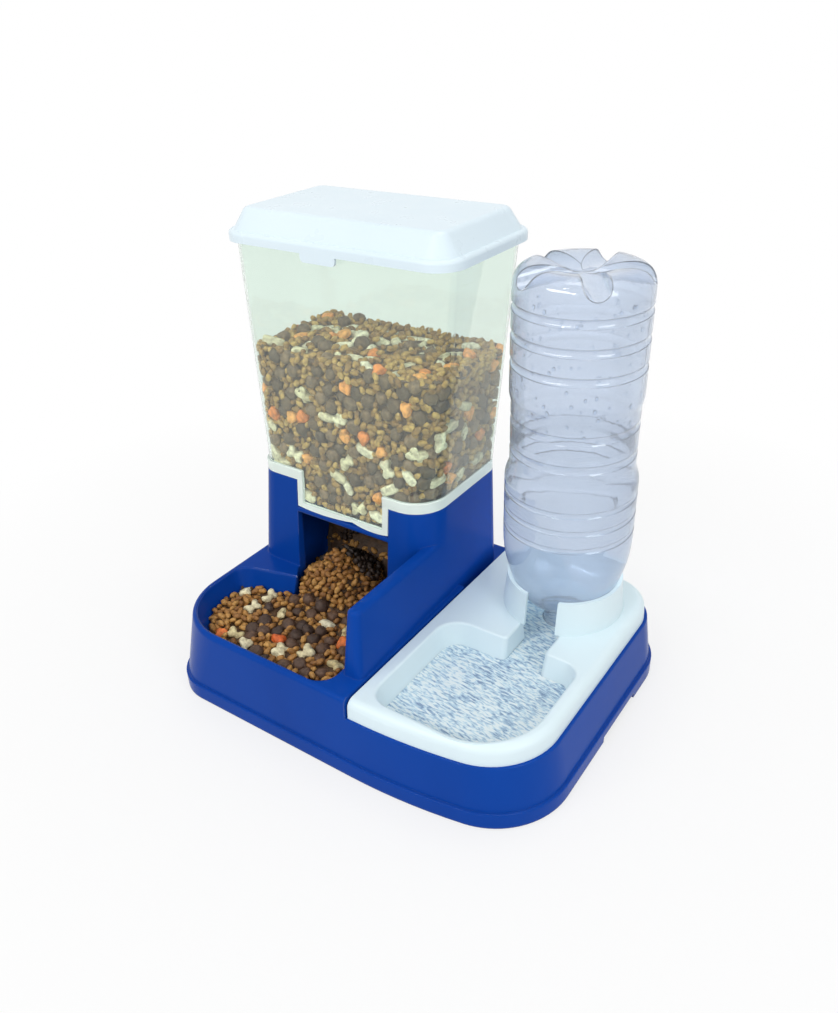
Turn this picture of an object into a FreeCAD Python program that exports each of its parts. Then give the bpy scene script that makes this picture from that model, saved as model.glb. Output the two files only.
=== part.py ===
# Pet food and water dispenser: a gravity hopper and an upturned bottle on one moulded base.
# Millimetres. Origin at the middle of the footprint, on the surface it stands on.
# +X is the water side, the bowls are at -Y, +Z is up.
import FreeCAD, Part
import os
from math import cos, pi, radians, sin, sqrt, tan

Vector = FreeCAD.Vector

# Base plinth
base_width = 302.0
base_depth = 236.0
base_foot_gap = 1.2
front_left_radius = 34.0
front_right_radius = 56.0
back_right_radius = 42.0
back_left_radius = 34.0
bow_start = 24.0
bow_radius = 430.0
flange_top = 13.0
flange_lip = 2.0
flange_round = 1.0
left_draft = 2.5
right_draft = 7.0
front_draft = 1.5
back_draft = 9.0
front_left_spread = 22.0
moulded_wall = 2.6
tray_ledge_height = 49.0
ledge_round = 1.0
rear_deck_rise = 3.0
rear_deck_round = 2.0
rear_deck_depth = 88.0
rim_rise = 15.5
rim_round = 3.2
water_side_width = 130.5
finger_notch_length = 52.0
finger_notch_height = 4.5
finger_notch_front = 0.0

# Food bowl, in plan at the rim
bowl_left_margin = 8.4
bowl_front_margin = 7.6
bowl_right_margin = 1.5
bowl_back_left_setback = 31.0
bowl_back_mid_setback = 19.0
bowl_back_right_setback = 15.0
bowl_radius_front_left = 45.0
bowl_radius_front_right = 14.0
bowl_radius_back_left = 14.0
bowl_radius_back_mid = 40.0
bowl_radius_back_right = 8.0
bowl_depth = 42.5
bowl_lean = 16.0
bowl_floor_radius = 12.0
bowl_floor_round = 9.0
bowl_lip = 0.8

# Tower that carries the hopper
tower_height = 89.0
tower_side_margin = 12.0
tower_divide_margin = 6.0
tower_front_setback = 111.0
tower_back_margin = 28.0
tower_spread_left = 5.6
tower_spread_right = 0.8
tower_spread_front = 9.0
tower_spread_back = 3.0
tower_radius_front_left = 15.0
tower_radius_front_right = 25.0
tower_radius_back = 12.0
tower_rim_wall = 3.0
tower_neck_depth = 16.0
left_pillar_width = 37.0
right_pillar_width = 32.5
mouth_flare = 7.0
mouth_reach = 17.0
notch_height = 22.5
lintel_height = 3.4
notch_depth = 10.0
chute_foot_depth = 14.0
chute_foot_reach = 3.0
chute_foot_radius = 5.0

# Wall between the food and the water
divider_height = 63.5
divider_top_width = 9.5
divider_foot_width = 17.5
divider_top_setback = 30.0
divider_foot_setback = 20.0
divider_end_margin = 14.0
divider_end_width = 9.5
divider_radius = 4.5
divider_round = 3.5

# Water tray
tray_gap = 1.2
tray_side_ledge = 2.0
tray_back_ledge = 3.5
tray_front_ledge = 1.5
tray_height = 14.0
tray_round = 6.0
tray_wall = 2.2
tray_draft = 3.0
basin_left_margin = 8.3
basin_right_margin = 18.0
basin_front_margin = 15.0
basin_back_gap = 61.5
basin_radius_front_left = 15.0
basin_radius_front_right = 45.0
basin_radius_back_right = 13.0
basin_radius_back_left = 18.0
basin_depth = 27.0
basin_lean = 8.0
basin_floor_round = 4.0
basin_floor_radius = 5.0
channel_width = 26.0
channel_width_top = 28.5
channel_corner_round = 4.0
basin_lip_round = 2.0
recess_clearance = 2.0
recess_margin = 5.0
recess_lean = 4.0

# Bottle collar
bottle_side_margin = 62.1
bottle_back_margin = 61.5
collar_height = 25.0
collar_foot_radius = 43.2
collar_top_radius = 40.8
collar_wall = 2.5
collar_slot_width = 23.0
collar_slot_offset = 2.1
collar_slot_sill = 0.5
well_radius = 36.0

# Upturned bottle
bottle_wall = 0.9
neck_radius = 13.2
mouth_lip_radius = 14.0
mouth_lip_height = 2.0
neck_ring_radius = 16.4
neck_ring_height = 2.0
neck_length = 21.0
bottle_seat_height = 44.0
shoulder_radius = 44.5
shoulder_height = 82.0
band_height = 40.0
band_taper = 14.0
waist_radius = 41.6
waist_height = 40.0
waist_taper = 8.0
body_radius = 42.9
body_foot_height = 12.0
body_height = 53.0
end_height = 15.0
heel_radius = 30.0
band_groove_count = 3
band_groove_depth = 0.7
band_groove_width = 4.0
waist_groove_count = 2
waist_groove_depth = 0.9
waist_groove_width = 6.0
body_groove_count = 3
body_groove_depth = 1.7
body_groove_width = 6.0
petal_count = 5
petal_valley_radius = 8.0
petal_valley_drop = 5.5
petal_valley_tilt = 7.0
petal_turn = 18.0
dimple_depth = 5.0
neck_ring_offset = 2.0
bottle_water_height = 153.0
tray_water_depth = 11.0
bottle_seat_gap = 0.3
neck_slope = 3.0

# Hopper
hopper_height = 175.9
hopper_flare_left = 1.0
hopper_flare_right = 18.0
hopper_flare_front = -0.5
hopper_flare_back = 1.0
hopper_radius = 14.0
hopper_foot_radius_back = 9.0
hopper_wall = 1.6
bead_height = 8.0
bead_proud = 1.4
bead_round = 1.1
seat_gap = 0.3
shelf_height = 2.0
plug_depth = 12.0
plug_gap = 0.5
apron_border = 5.0
apron_gap = 0.5
apron_wave = 2.4
apron_corner_rise = 1.2
apron_cusp_share = 0.62
hopper_flange = 2.5
hopper_flange_height = 2.4

# Lid
lid_overhang = 5.0
lid_wall = 1.8
lid_rim_drop = 4.7
lid_rim_round = 2.6
lid_seat_gap = 0.3
lid_rise = 15.8
dome_foot_inset = 3.0
dome_top_inset = 12.5
dome_round = 5.0
tab_width = 28.0
tab_drop = 5.5
tab_round = 3.0
tab_offset = 5.75

# Lid hinge, hidden at the back
hinge_setback = 5.0
hinge_rise = 1.5
hinge_boss_radius = 3.6
hinge_pin_radius = 1.6
hinge_bore_gap = 0.1
hinge_barrel_length = 18.0
hinge_lug_width = 5.0
hinge_side_gap = 0.4
hinge_side_inset = 38.25
hinge_lug_drop = 12.0
hinge_web_height = 4.5
hinge_lug_reach = 2.5
hinge_lug_clearance = 0.5

# Contents
kibble_gap = 0.3
hopper_food_height = 99.7
hopper_food_drop = 3.0
bowl_food_depth = 31.0
pile_height = 33.0
pile_slope = 42.0
pile_offset = 10.0
pile_setback = 3.0
chute_food_setback = 35.0
chute_food_lean = 30.0
dent_pitch = 21.0
dent_radius = 8.5
hopper_dent_depth = 4.0
bowl_dent_depth = 2.5
water_gap = 0.2

# Rubber feet
foot_radius = 8.0
foot_height = 3.2
foot_wall_inset = 13.0
foot_boss_radius = 12.0
foot_boss_height = 16.0
foot_round = 0.8

# Working allowances
over = 20.0
overlap = 1.0
buried = 2.0
least_round = 0.8

# Levels
rear_deck_height = tray_ledge_height + rear_deck_rise
rim_height = tray_ledge_height + rim_rise
bowl_floor = rim_height - bowl_depth
tower_top = tray_ledge_height + tower_height
tower_neck_bottom = tower_top - tower_neck_depth
lintel_top = tower_top - notch_height
lintel_bottom = lintel_top - lintel_height
divider_top = tray_ledge_height + divider_height
tray_top = tray_ledge_height + tray_height
basin_floor = tray_top - basin_depth
tray_water_level = basin_floor + tray_water_depth
collar_top = tray_top + collar_height
bottle_mouth = collar_top - bottle_seat_height
neck_top = bottle_mouth + neck_length
band_start = bottle_mouth + shoulder_height
band_end = band_start + band_height
waist_start = band_end + band_taper
waist_end = waist_start + waist_height
body_start = waist_end + waist_taper
body_middle = body_start + body_foot_height
body_end = body_middle + body_height
bottle_end = body_end + end_height
bottle_water_level = bottle_mouth + bottle_water_height
hopper_seat = tower_top + seat_gap
hopper_top = hopper_seat + hopper_height
plug_bottom = tower_top - plug_depth
lid_rim_bottom = hopper_top - lid_rim_drop
lid_roof = hopper_top + lid_seat_gap + lid_wall
lid_top = hopper_top + lid_rise
hinge_z = lid_rim_bottom + hinge_rise
hopper_kibble_level = hopper_seat + hopper_food_height
hopper_kibble_foot = plug_bottom - hopper_food_drop
bowl_kibble_level = bowl_floor + bowl_food_depth

# Places across, from the sides of the base
base_left = -base_width / 2
base_right = base_width / 2
divide_x = base_right - water_side_width
divider_left = divide_x - divider_foot_width
tower_top_left = base_left + tower_side_margin
tower_top_right = divide_x - tower_divide_margin
mouth_left = tower_top_left + left_pillar_width
mouth_right = tower_top_right - right_pillar_width
mouth_middle = (mouth_left + mouth_right) / 2
bowl_left = base_left + bowl_left_margin
bowl_right = divider_left - bowl_right_margin
tray_left = divide_x + tray_gap
basin_left = tray_left + basin_left_margin
basin_right = base_right - basin_right_margin
bottle_x = base_right - bottle_side_margin
collar_slot_x = bottle_x + collar_slot_offset
hopper_top_left = tower_top_left - hopper_flare_left
hopper_top_right = tower_top_right + hopper_flare_right
hopper_middle = (hopper_top_left + hopper_top_right) / 2

# Places in depth, from the front and the back of the base
base_front = -base_depth / 2
base_back = base_depth / 2
tower_top_front = base_front + tower_front_setback
tower_top_back = base_back - tower_back_margin
tower_foot_front = tower_top_front - tower_spread_front
rear_deck_front = base_back - rear_deck_depth
bowl_front = base_front + bowl_front_margin
bowl_back_left = tower_top_front - bowl_back_left_setback
bowl_back_mid = tower_top_front - bowl_back_mid_setback
bowl_back_right = tower_top_front - bowl_back_right_setback
chute_foot_front = tower_top_front - chute_foot_reach
chute_foot_back = chute_foot_front + chute_foot_depth
bottle_y = base_back - bottle_back_margin
basin_front = base_front + basin_front_margin
basin_back = bottle_y - basin_back_gap
hopper_top_front = tower_top_front - hopper_flare_front
hopper_top_back = tower_top_back + hopper_flare_back
seat_slope = radians(25.0)


def box(x0, x1, y0, y1, z0, z1):
    """Solid box between two corners."""
    return Part.makeBox(x1 - x0, y1 - y0, z1 - z0, Vector(x0, y0, z0))


def rounded_polygon(points, radii, z):
    """Closed wire through counter-clockwise corners, each rounded to its own radius."""
    count = len(points)
    starts, middles, ends = [], [], []
    for i in range(count):
        corner = Vector(points[i][0], points[i][1], z)
        before = Vector(points[i - 1][0], points[i - 1][1], z) - corner
        after = Vector(points[(i + 1) % count][0], points[(i + 1) % count][1], z) - corner
        before.normalize()
        after.normalize()
        half = before.getAngle(after) / 2
        reach = radii[i] / tan(half)
        bisector = before + after
        bisector.normalize()
        centre = corner + bisector * (radii[i] / sin(half))
        starts.append(corner + before * reach)
        middles.append(centre - bisector * radii[i])
        ends.append(corner + after * reach)
    edges = []
    for i in range(count):
        edges.append(Part.Arc(starts[i], middles[i], ends[i]).toShape())
        edges.append(Part.LineSegment(ends[i], starts[(i + 1) % count]).toShape())
    return Part.Wire(edges)


def grown_polygon(points, growth):
    """Corners of a convex counter-clockwise outline with every side moved out by growth."""
    count = len(points)
    grown = []
    for i in range(count):
        x, y = points[i]
        before = Vector(x - points[i - 1][0], y - points[i - 1][1], 0)
        after = Vector(points[(i + 1) % count][0] - x, points[(i + 1) % count][1] - y, 0)
        before.normalize()
        after.normalize()
        normals = Vector(before.y + after.y, -before.x - after.x, 0)
        spread = growth / (1 + before.dot(after))
        grown.append((x + normals.x * spread, y + normals.y * spread))
    return grown


def outline(points, radii, growth, z, least=least_round):
    """Rounded outline moved out by growth, at height z."""
    radii = [max(radius + growth, least) for radius in radii]
    return rounded_polygon(grown_polygon(points, growth), radii, z)


def rectangle(x0, x1, y0, y1):
    """Corners of a rectangle, counter-clockwise from the front left."""
    return [(x0, y0), (x1, y0), (x1, y1), (x0, y1)]


def ruled(*wires):
    """Solid with straight walls between outlines."""
    return Part.makeLoft(list(wires), True, True)


def edges_at(shape, z):
    """Edges that lie wholly at height z."""
    level = []
    for edge in shape.Edges:
        bounds = edge.BoundBox
        if abs(bounds.ZMin - z) < 0.01 and abs(bounds.ZMax - z) < 0.01:
            level.append(edge)
    return level


def rounded_at(shape, z, radius):
    """Shape with all its edges at height z rounded."""
    return shape.makeFillet(radius, edges_at(shape, z))


def bow_corner(insets):
    """Middle of the front bow and of the front right corner that meets it."""
    left, right, front, back = insets
    bow = bow_radius - front
    radius = front_right_radius - (right + front) / 2
    bow_centre = Vector(bow_start, -base_depth / 2 + front + bow, 0)
    corner_x = base_width / 2 - right - radius
    corner_y = bow_centre.y - sqrt((bow - radius) ** 2 - (corner_x - bow_start) ** 2)
    return bow_centre, Vector(corner_x, corner_y, 0)


def plan(z, insets, front_left_extra=0.0):
    """Outline of the plinth: straight sides, bowed front on the water side.

    The insets are those of the left, right, front and back sides.
    """
    left, right, front, back = insets
    x0 = -base_width / 2 + left
    x1 = base_width / 2 - right
    y0 = -base_depth / 2 + front
    y1 = base_depth / 2 - back
    bow = bow_radius - front
    radius = front_right_radius - (right + front) / 2
    bow_centre, corner_centre = [point + Vector(0, 0, z) for point in bow_corner(insets)]
    toward = corner_centre - bow_centre
    toward.normalize()
    tangent = bow_centre + toward * bow
    mid_bow = toward + Vector(0, -1, 0)
    mid_bow.normalize()
    mid_corner = toward + Vector(1, 0, 0)
    mid_corner.normalize()
    last = corner_centre + Vector(radius, 0, 0)
    edges = [Part.Arc(Vector(bow_start, y0, z), bow_centre + mid_bow * bow, tangent).toShape(),
             Part.Arc(tangent, corner_centre + mid_corner * radius, last).toShape()]
    corners = ((x1, y1, back_right_radius - (right + back) / 2, 1, 1),
               (x0, y1, back_left_radius - (left + back) / 2, -1, 1),
               (x0, y0, front_left_radius - (left + front) / 2 + front_left_extra, -1, -1))
    for x, y, radius, sx, sy in corners:
        centre = Vector(x - sx * radius, y - sy * radius, z)
        along_x = centre + Vector(sx * radius, 0, 0)
        along_y = centre + Vector(0, sy * radius, 0)
        middle = centre + Vector(sx, sy, 0) * (radius / sqrt(2))
        first, second = (along_x, along_y) if sx == sy else (along_y, along_x)
        edges.append(Part.LineSegment(last, first).toShape())
        edges.append(Part.Arc(first, middle, second).toShape())
        last = second
    edges.append(Part.LineSegment(last, Vector(bow_start, y0, z)).toShape())
    return Part.Wire(edges)


def wall_insets(z, growth):
    """How far the drafted plinth wall stands in from the foot outline at height z."""
    rise = z - flange_top
    drafts = (left_draft, right_draft, front_draft, back_draft)
    return [flange_lip + rise * tan(radians(draft)) - growth for draft in drafts]


def wall_outline(z, growth):
    """Outline of the drafted plinth wall at height z."""
    extra = front_left_spread * (z - flange_top) / (rim_height - flange_top)
    return plan(z, wall_insets(z, growth), extra)


def plinth(top, edge_round, growth):
    """Drafted block of the plinth up to a given height, with a rounded top edge."""
    top = top + growth
    block = ruled(wall_outline(flange_top + growth - buried, growth), wall_outline(top, growth))
    return rounded_at(block, top, max(edge_round + growth, least_round))


def flange(growth):
    """Foot flange round the bottom of the plinth."""
    top = flange_top + growth
    block = ruled(plan(base_foot_gap, [-growth] * 4), plan(top, [-growth] * 4))
    return rounded_at(block, top, flange_round)


def tower_radii():
    """Corner radii of the tower, counter-clockwise from the front left."""
    return [tower_radius_front_left, tower_radius_front_right, tower_radius_back, tower_radius_back]


def tower_outline(z, growth):
    """Outline of the drafted tower at height z."""
    drop = (tower_top - z) / (tower_top - tray_ledge_height)
    corners = rectangle(tower_top_left - tower_spread_left * drop,
                        tower_top_right + tower_spread_right * drop,
                        tower_top_front - tower_spread_front * drop,
                        tower_top_back + tower_spread_back * drop)
    return outline(corners, tower_radii(), growth, z)


def socket_outline(z, growth):
    """Outline of the tower's top, kept upright, for what plugs into it or stands on it."""
    corners = rectangle(tower_top_left, tower_top_right, tower_top_front, tower_top_back)
    return outline(corners, tower_radii(), growth, z)


def tower(growth, crest=tower_top):
    """Drafted tower that the hopper stands on."""
    return ruled(tower_outline(tray_ledge_height - buried, growth), tower_outline(crest, growth))


def divider(growth):
    """Tall wall between food and water, whose flank runs back into the tower's side."""
    foot = tray_ledge_height - buried
    end = tower_top_back - divider_end_margin
    top_front = base_front + divider_top_setback
    foot_front = base_front + divider_foot_setback
    top_right = tower_top_right
    low = [(divider_left, foot_front), (divide_x, foot_front),
           (tower_top_right + tower_spread_right, end), (tower_top_right - divider_end_width, end)]
    top = [(top_right - divider_top_width, top_front), (top_right, top_front),
           (top_right, end), (top_right - divider_end_width, end)]
    radii = [divider_radius] * 4
    crest = divider_top + growth
    block = ruled(outline(low, radii, growth, foot), outline(top, radii, growth, crest))
    return rounded_at(block, crest, max(divider_round + growth, least_round))


def bowl_outline(growth, z, least=least_round):
    """D-shaped outline of the food bowl."""
    points = [(bowl_left, bowl_front), (bowl_right, bowl_front), (bowl_right, bowl_back_right),
              (mouth_left + mouth_flare, bowl_back_mid), (bowl_left, bowl_back_left)]
    radii = [bowl_radius_front_left, bowl_radius_front_right, bowl_radius_back_right,
             bowl_radius_back_mid, bowl_radius_back_left]
    return outline(points, radii, growth, z, least)


def bowl_pocket(growth):
    """Space of the food bowl."""
    floor = bowl_floor - growth
    lean = bowl_lean / (rim_height - bowl_floor)
    foot = bowl_outline(growth - bowl_lean - lean * growth, floor, bowl_floor_radius + growth)
    pocket = ruled(foot, bowl_outline(growth, rim_height))
    pocket = rounded_at(pocket, floor, bowl_floor_round + growth)
    lip = ruled(bowl_outline(growth, rim_height - bowl_lip), bowl_outline(growth + bowl_lip, rim_height))
    above = Part.Face(bowl_outline(growth + bowl_lip, rim_height)).extrude(Vector(0, 0, overlap))
    return pocket.fuse(lip).fuse(above)


def mouth_space(growth):
    """Opening of the tower above the bowl, under the lintel, narrower where it meets the bowl."""
    bottom = bowl_floor - growth
    front = bowl_back_left - mouth_reach
    plan_points = [(mouth_left + mouth_flare, front), (mouth_right, front), (mouth_right, chute_foot_back),
                   (mouth_left, chute_foot_back), (mouth_left, tower_foot_front),
                   (mouth_left + mouth_flare, bowl_back_mid)]
    corners = [Vector(x, y, bottom) for x, y in grown_polygon(plan_points, growth)]
    face = Part.Face(Part.makePolygon(corners + corners[:1]))
    return face.extrude(Vector(0, 0, lintel_bottom + growth - bottom))


def notch_space(growth):
    """Cut in the tower's front above the lintel, which the hopper's apron fills."""
    return box(mouth_left - growth, mouth_right + growth, tower_top_front - over,
               tower_top_front + notch_depth, lintel_top - growth, tower_top + over)


def chute_neck(growth):
    """Straight socket inside the tower's top."""
    inset = growth - tower_rim_wall
    return ruled(socket_outline(tower_neck_bottom, inset), socket_outline(tower_top + overlap, inset))


def chute(growth):
    """Funnel from the socket down to the bowl."""
    foot = rectangle(mouth_left, mouth_right, chute_foot_front, chute_foot_back)
    funnel = ruled(outline(foot, [chute_foot_radius] * 4, growth, bowl_floor - growth),
                   socket_outline(tower_neck_bottom, growth - tower_rim_wall))
    return funnel.fuse(chute_neck(growth))


def recess(growth):
    """Well in the base under the water tray."""
    floor = basin_floor - tray_wall - recess_clearance - growth
    top = [inset + recess_margin for inset in wall_insets(tray_ledge_height, growth)]
    low = [inset + recess_lean for inset in top]
    well = ruled(plan(floor, low), plan(tray_ledge_height + overlap, top))
    side = box(divide_x + recess_margin - growth, base_width, -base_depth, base_depth, 0, tower_top)
    return well.common(side)


def base_spaces(growth):
    """Everything scooped out of the base from above and in front."""
    spaces = bowl_pocket(growth)
    for space in (mouth_space(growth), chute(growth), notch_space(growth), recess(growth)):
        spaces = spaces.fuse(space)
    return spaces


def food_side(growth):
    """High part of the plinth round the bowl."""
    front = box(-base_width, divide_x + growth, -base_depth, rear_deck_front + growth, 0, tower_top)
    return plinth(rim_height, rim_round, growth).common(front)


def rear_deck(growth):
    """Lower deck behind the tower."""
    left = box(-base_width, divide_x + growth, -base_depth, base_depth, 0, tower_top)
    return plinth(rear_deck_height, rear_deck_round, growth).common(left)


def base_body(growth):
    """Outer form of the base, or with negative growth the space under its skin."""
    body = plinth(tray_ledge_height, ledge_round, growth)
    for piece in (flange(growth), rear_deck(growth), food_side(growth), tower(growth), divider(growth)):
        body = body.fuse(piece)
    return body


def foot_places():
    """Middle of each rubber foot, on the diagonal of its corner."""
    half_x, half_y = base_width / 2, base_depth / 2
    corners = {"front_left": (front_left_radius, -1, -1),
               "back_left": (back_left_radius, -1, 1),
               "back_right": (back_right_radius, 1, 1)}
    places = {}
    for name, (radius, sx, sy) in corners.items():
        reach = (radius - foot_wall_inset) / sqrt(2)
        places[name] = (sx * (half_x - radius + reach), sy * (half_y - radius + reach))
    bow_end = bow_corner([0.0] * 4)[1]
    reach = (front_right_radius - foot_wall_inset) / sqrt(2)
    places["front_right"] = (bow_end.x + reach, bow_end.y - reach)
    return places


def finger_notches():
    """Lifting notches in the bottom of both side flanges."""
    return box(-base_width, base_width, finger_notch_front, finger_notch_front + finger_notch_length,
               -over, base_foot_gap + finger_notch_height)


def make_base():
    """Blue moulding: plinth, bowl, tower, chute, divider and tray seat, open underneath."""
    solid = base_body(0).cut(base_spaces(0))
    inner = [moulded_wall] * 4
    open_bottom = ruled(plan(-over, inner), plan(base_foot_gap + buried, inner))
    under = base_body(-moulded_wall).fuse(open_bottom).cut(base_spaces(moulded_wall))
    shell = solid.cut(under)
    for x, y in foot_places().values():
        boss = Part.makeCylinder(foot_boss_radius, foot_boss_height, Vector(x, y, foot_height))
        shell = shell.fuse(boss.common(solid))
    return shell.cut(finger_notches()).removeSplitter()


def make_foot(x, y):
    """Round rubber pad."""
    pad = Part.makeCylinder(foot_radius, foot_height, Vector(x, y, 0))
    return rounded_at(pad, 0, foot_round)


def tray_outline(z, growth):
    """Outline of the water tray at height z, standing on the ledge of the base."""
    lean = (z - tray_ledge_height) * tan(radians(tray_draft))
    ledges = (tray_side_ledge, tray_side_ledge, tray_front_ledge, tray_back_ledge)
    walls = wall_insets(tray_ledge_height, growth)
    return plan(z, [wall + ledge + lean for wall, ledge in zip(walls, ledges)])


def tray_block(growth):
    """Outer form of the tray, or with negative growth the space under it."""
    bottom = tray_ledge_height + growth * 2
    top = tray_top + growth
    block = ruled(tray_outline(bottom, growth), tray_outline(top, growth))
    block = rounded_at(block, top, tray_round + growth)
    side = box(tray_left - growth, base_width, -base_depth, base_depth, 0, tower_top)
    return block.common(side)


def basin_outline(growth, z, least=least_round):
    """Outline of the drinking basin."""
    radii = [basin_radius_front_left, basin_radius_front_right, basin_radius_back_right,
             basin_radius_back_left]
    return outline(rectangle(basin_left, basin_right, basin_front, basin_back), radii, growth, z, least)


def basin(growth):
    """Space of the drinking basin."""
    floor = basin_floor - growth
    lean = basin_lean / (tray_top - basin_floor)
    foot = basin_outline(growth - basin_lean - lean * growth, floor, basin_floor_radius + growth)
    pocket = ruled(foot, basin_outline(growth, tray_top))
    return rounded_at(pocket, floor, basin_floor_round + growth)


def channel(growth):
    """Passage from the bottle's well to the basin."""
    floor = basin_floor - growth
    low = rectangle(collar_slot_x - channel_width / 2 - growth, collar_slot_x + channel_width / 2 + growth,
                    basin_back - basin_lean * 2, bottle_y)
    top = rectangle(collar_slot_x - channel_width_top / 2 - growth,
                    collar_slot_x + channel_width_top / 2 + growth, basin_back - basin_lean, bottle_y)
    return ruled(Part.makePolygon([Vector(x, y, floor) for x, y in low + low[:1]]),
                 Part.makePolygon([Vector(x, y, tray_top) for x, y in top + top[:1]]))


def well(growth):
    """Round space under the bottle's mouth."""
    depth = tray_top - basin_floor
    return Part.makeCone(well_radius + growth, collar_foot_radius - collar_wall + growth, depth + growth,
                         Vector(bottle_x, bottle_y, basin_floor - growth))


def water_space(growth):
    """Basin, channel and well together, up to the tray's top, with the channel's corners rounded."""
    space = basin(growth).fuse(channel(growth)).fuse(well(growth))
    reach = channel_width_top / 2 + growth
    corners = []
    for edge in space.Edges:
        bounds = edge.BoundBox
        aside = min(abs(bounds.XMin - collar_slot_x), abs(bounds.XMax - collar_slot_x))
        before = bounds.YMax < basin_back + growth + overlap
        if bounds.ZLength > basin_depth / 2 and before and aside < reach:
            corners.append(edge)
    return space.makeFillet(channel_corner_round - growth, corners)


def basin_rim(tray):
    """Top edges of the basin and the channel."""
    rim = []
    for edge in edges_at(tray, tray_top):
        bounds = edge.BoundBox
        across = bounds.XMin > basin_left - overlap and bounds.XMax < basin_right + overlap
        last_start = basin_back + channel_corner_round + overlap
        if across and basin_front - overlap < bounds.YMin < last_start:
            rim.append(edge)
    return rim


def make_tray():
    """White tray: drinking basin, channel, and the slotted collar that the bottle stands in."""
    collar = Part.makeCone(collar_foot_radius, collar_top_radius, collar_height,
                           Vector(bottle_x, bottle_y, tray_top))
    bore = Part.makeCone(collar_foot_radius - collar_wall, collar_top_radius - collar_wall, collar_height,
                         Vector(bottle_x, bottle_y, tray_top))
    slot = box(collar_slot_x - collar_slot_width / 2, collar_slot_x + collar_slot_width / 2,
               bottle_y - 2 * collar_foot_radius, bottle_y, tray_top - collar_slot_sill, collar_top + overlap)
    cup = water_space(tray_wall)
    skin = tray_block(0).cut(tray_block(-tray_wall).cut(cup))
    tray = skin.fuse(cup).fuse(collar).cut(water_space(0)).cut(bore).cut(slot).removeSplitter()
    return tray.makeFillet(basin_lip_round, basin_rim(tray))


def groove_arc(radius, depth, middle, width):
    """Shallow round groove in an upright wall of a turned profile."""
    return Part.Arc(Vector(radius, 0, middle - width / 2), Vector(radius - depth, 0, middle),
                    Vector(radius, 0, middle + width / 2)).toShape()


def blend(radius_below, bottom, radius_above, top):
    """Smooth change of radius in a turned profile."""
    return curve([Vector(radius_below, 0, bottom), Vector(radius_above, 0, top)], Vector(0, 0, 1), Vector(0, 0, 1))


def upright(radius, bottom, top, grooves, depth, width):
    """Upright wall of a turned profile with evenly spaced grooves."""
    edges = []
    last = Vector(radius, 0, bottom)
    for i in range(grooves):
        middle = bottom + (top - bottom) * (i + 0.5) / grooves
        groove = groove_arc(radius, depth, middle, width)
        edges.append(Part.LineSegment(last, Vector(radius, 0, middle - width / 2)).toShape())
        edges.append(groove)
        last = Vector(radius, 0, middle + width / 2)
    edges.append(Part.LineSegment(last, Vector(radius, 0, top)).toShape())
    return edges


def curve(points, start, end):
    """Smooth curve through points with given directions at its ends."""
    spline = Part.BSplineCurve()
    spline.interpolate(Points=points, InitialTangent=start, FinalTangent=end)
    return spline.toShape()


def petals(growth):
    """Cutters for the valleys between the feet of the bottle's end."""
    valleys = None
    for i in range(petal_count):
        valley = Part.makeCylinder(petal_valley_radius + growth, 2 * body_radius, Vector(0, 0, 0),
                                   Vector(1, 0, 0))
        valley.rotate(Vector(0, 0, 0), Vector(0, 1, 0), petal_valley_tilt)
        valley.translate(Vector(0, 0, bottle_end - petal_valley_drop + petal_valley_radius))
        valley.rotate(Vector(0, 0, 0), Vector(0, 0, 1), 360.0 * i / petal_count + petal_turn)
        valleys = valley if valleys is None else valleys.fuse(valley)
    return valleys


def bottle_form(inset):
    """Turned form of the upturned bottle, or with an inset its inside."""
    neck = neck_radius - inset
    shoulder = shoulder_radius - inset
    waist = waist_radius - inset
    body = body_radius - inset
    seat_radius = collar_top_radius - collar_wall - bottle_seat_gap
    start = Vector(neck, 0, neck_top + inset)
    seat = Vector(seat_radius - inset * cos(seat_slope), 0, collar_top + inset * sin(seat_slope))
    broad = Vector(shoulder, 0, band_start)
    heel = Vector(heel_radius, 0, bottle_end - inset)
    body_top = Vector(body, 0, body_end)
    edges = [Part.LineSegment(Vector(0, 0, bottle_mouth), Vector(neck, 0, bottle_mouth)).toShape(),
             Part.LineSegment(Vector(neck, 0, bottle_mouth), start).toShape(),
             curve([start, seat, broad], Vector(1, 0, tan(radians(neck_slope))), Vector(0, 0, 1))]
    edges += upright(shoulder, band_start, band_end, band_groove_count, band_groove_depth, band_groove_width)
    edges.append(blend(shoulder, band_end, waist, waist_start))
    edges += upright(waist, waist_start, waist_end, waist_groove_count, waist_groove_depth, waist_groove_width)
    edges.append(blend(waist, waist_end, body, body_start))
    edges.append(Part.LineSegment(Vector(body, 0, body_start), Vector(body, 0, body_middle)).toShape())
    edges += upright(body, body_middle, body_end, body_groove_count, body_groove_depth, body_groove_width)
    edges.append(curve([body_top, heel], Vector(0, 0, 1), Vector(-1, 0, 0)))
    centre = Vector(0, 0, bottle_end - dimple_depth - inset)
    edges.append(curve([heel, centre], Vector(-1, 0, 0), Vector(-1, 0, 0)))
    edges.append(Part.LineSegment(centre, Vector(0, 0, bottle_mouth)).toShape())
    form = Part.Face(Part.Wire(edges)).revolve(Vector(0, 0, 0), Vector(0, 0, 1), 360)
    return form.cut(petals(inset))


def placed_at_bottle(shape):
    """Shape moved to the bottle's axis."""
    shape.translate(Vector(bottle_x, bottle_y, 0))
    return shape


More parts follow.
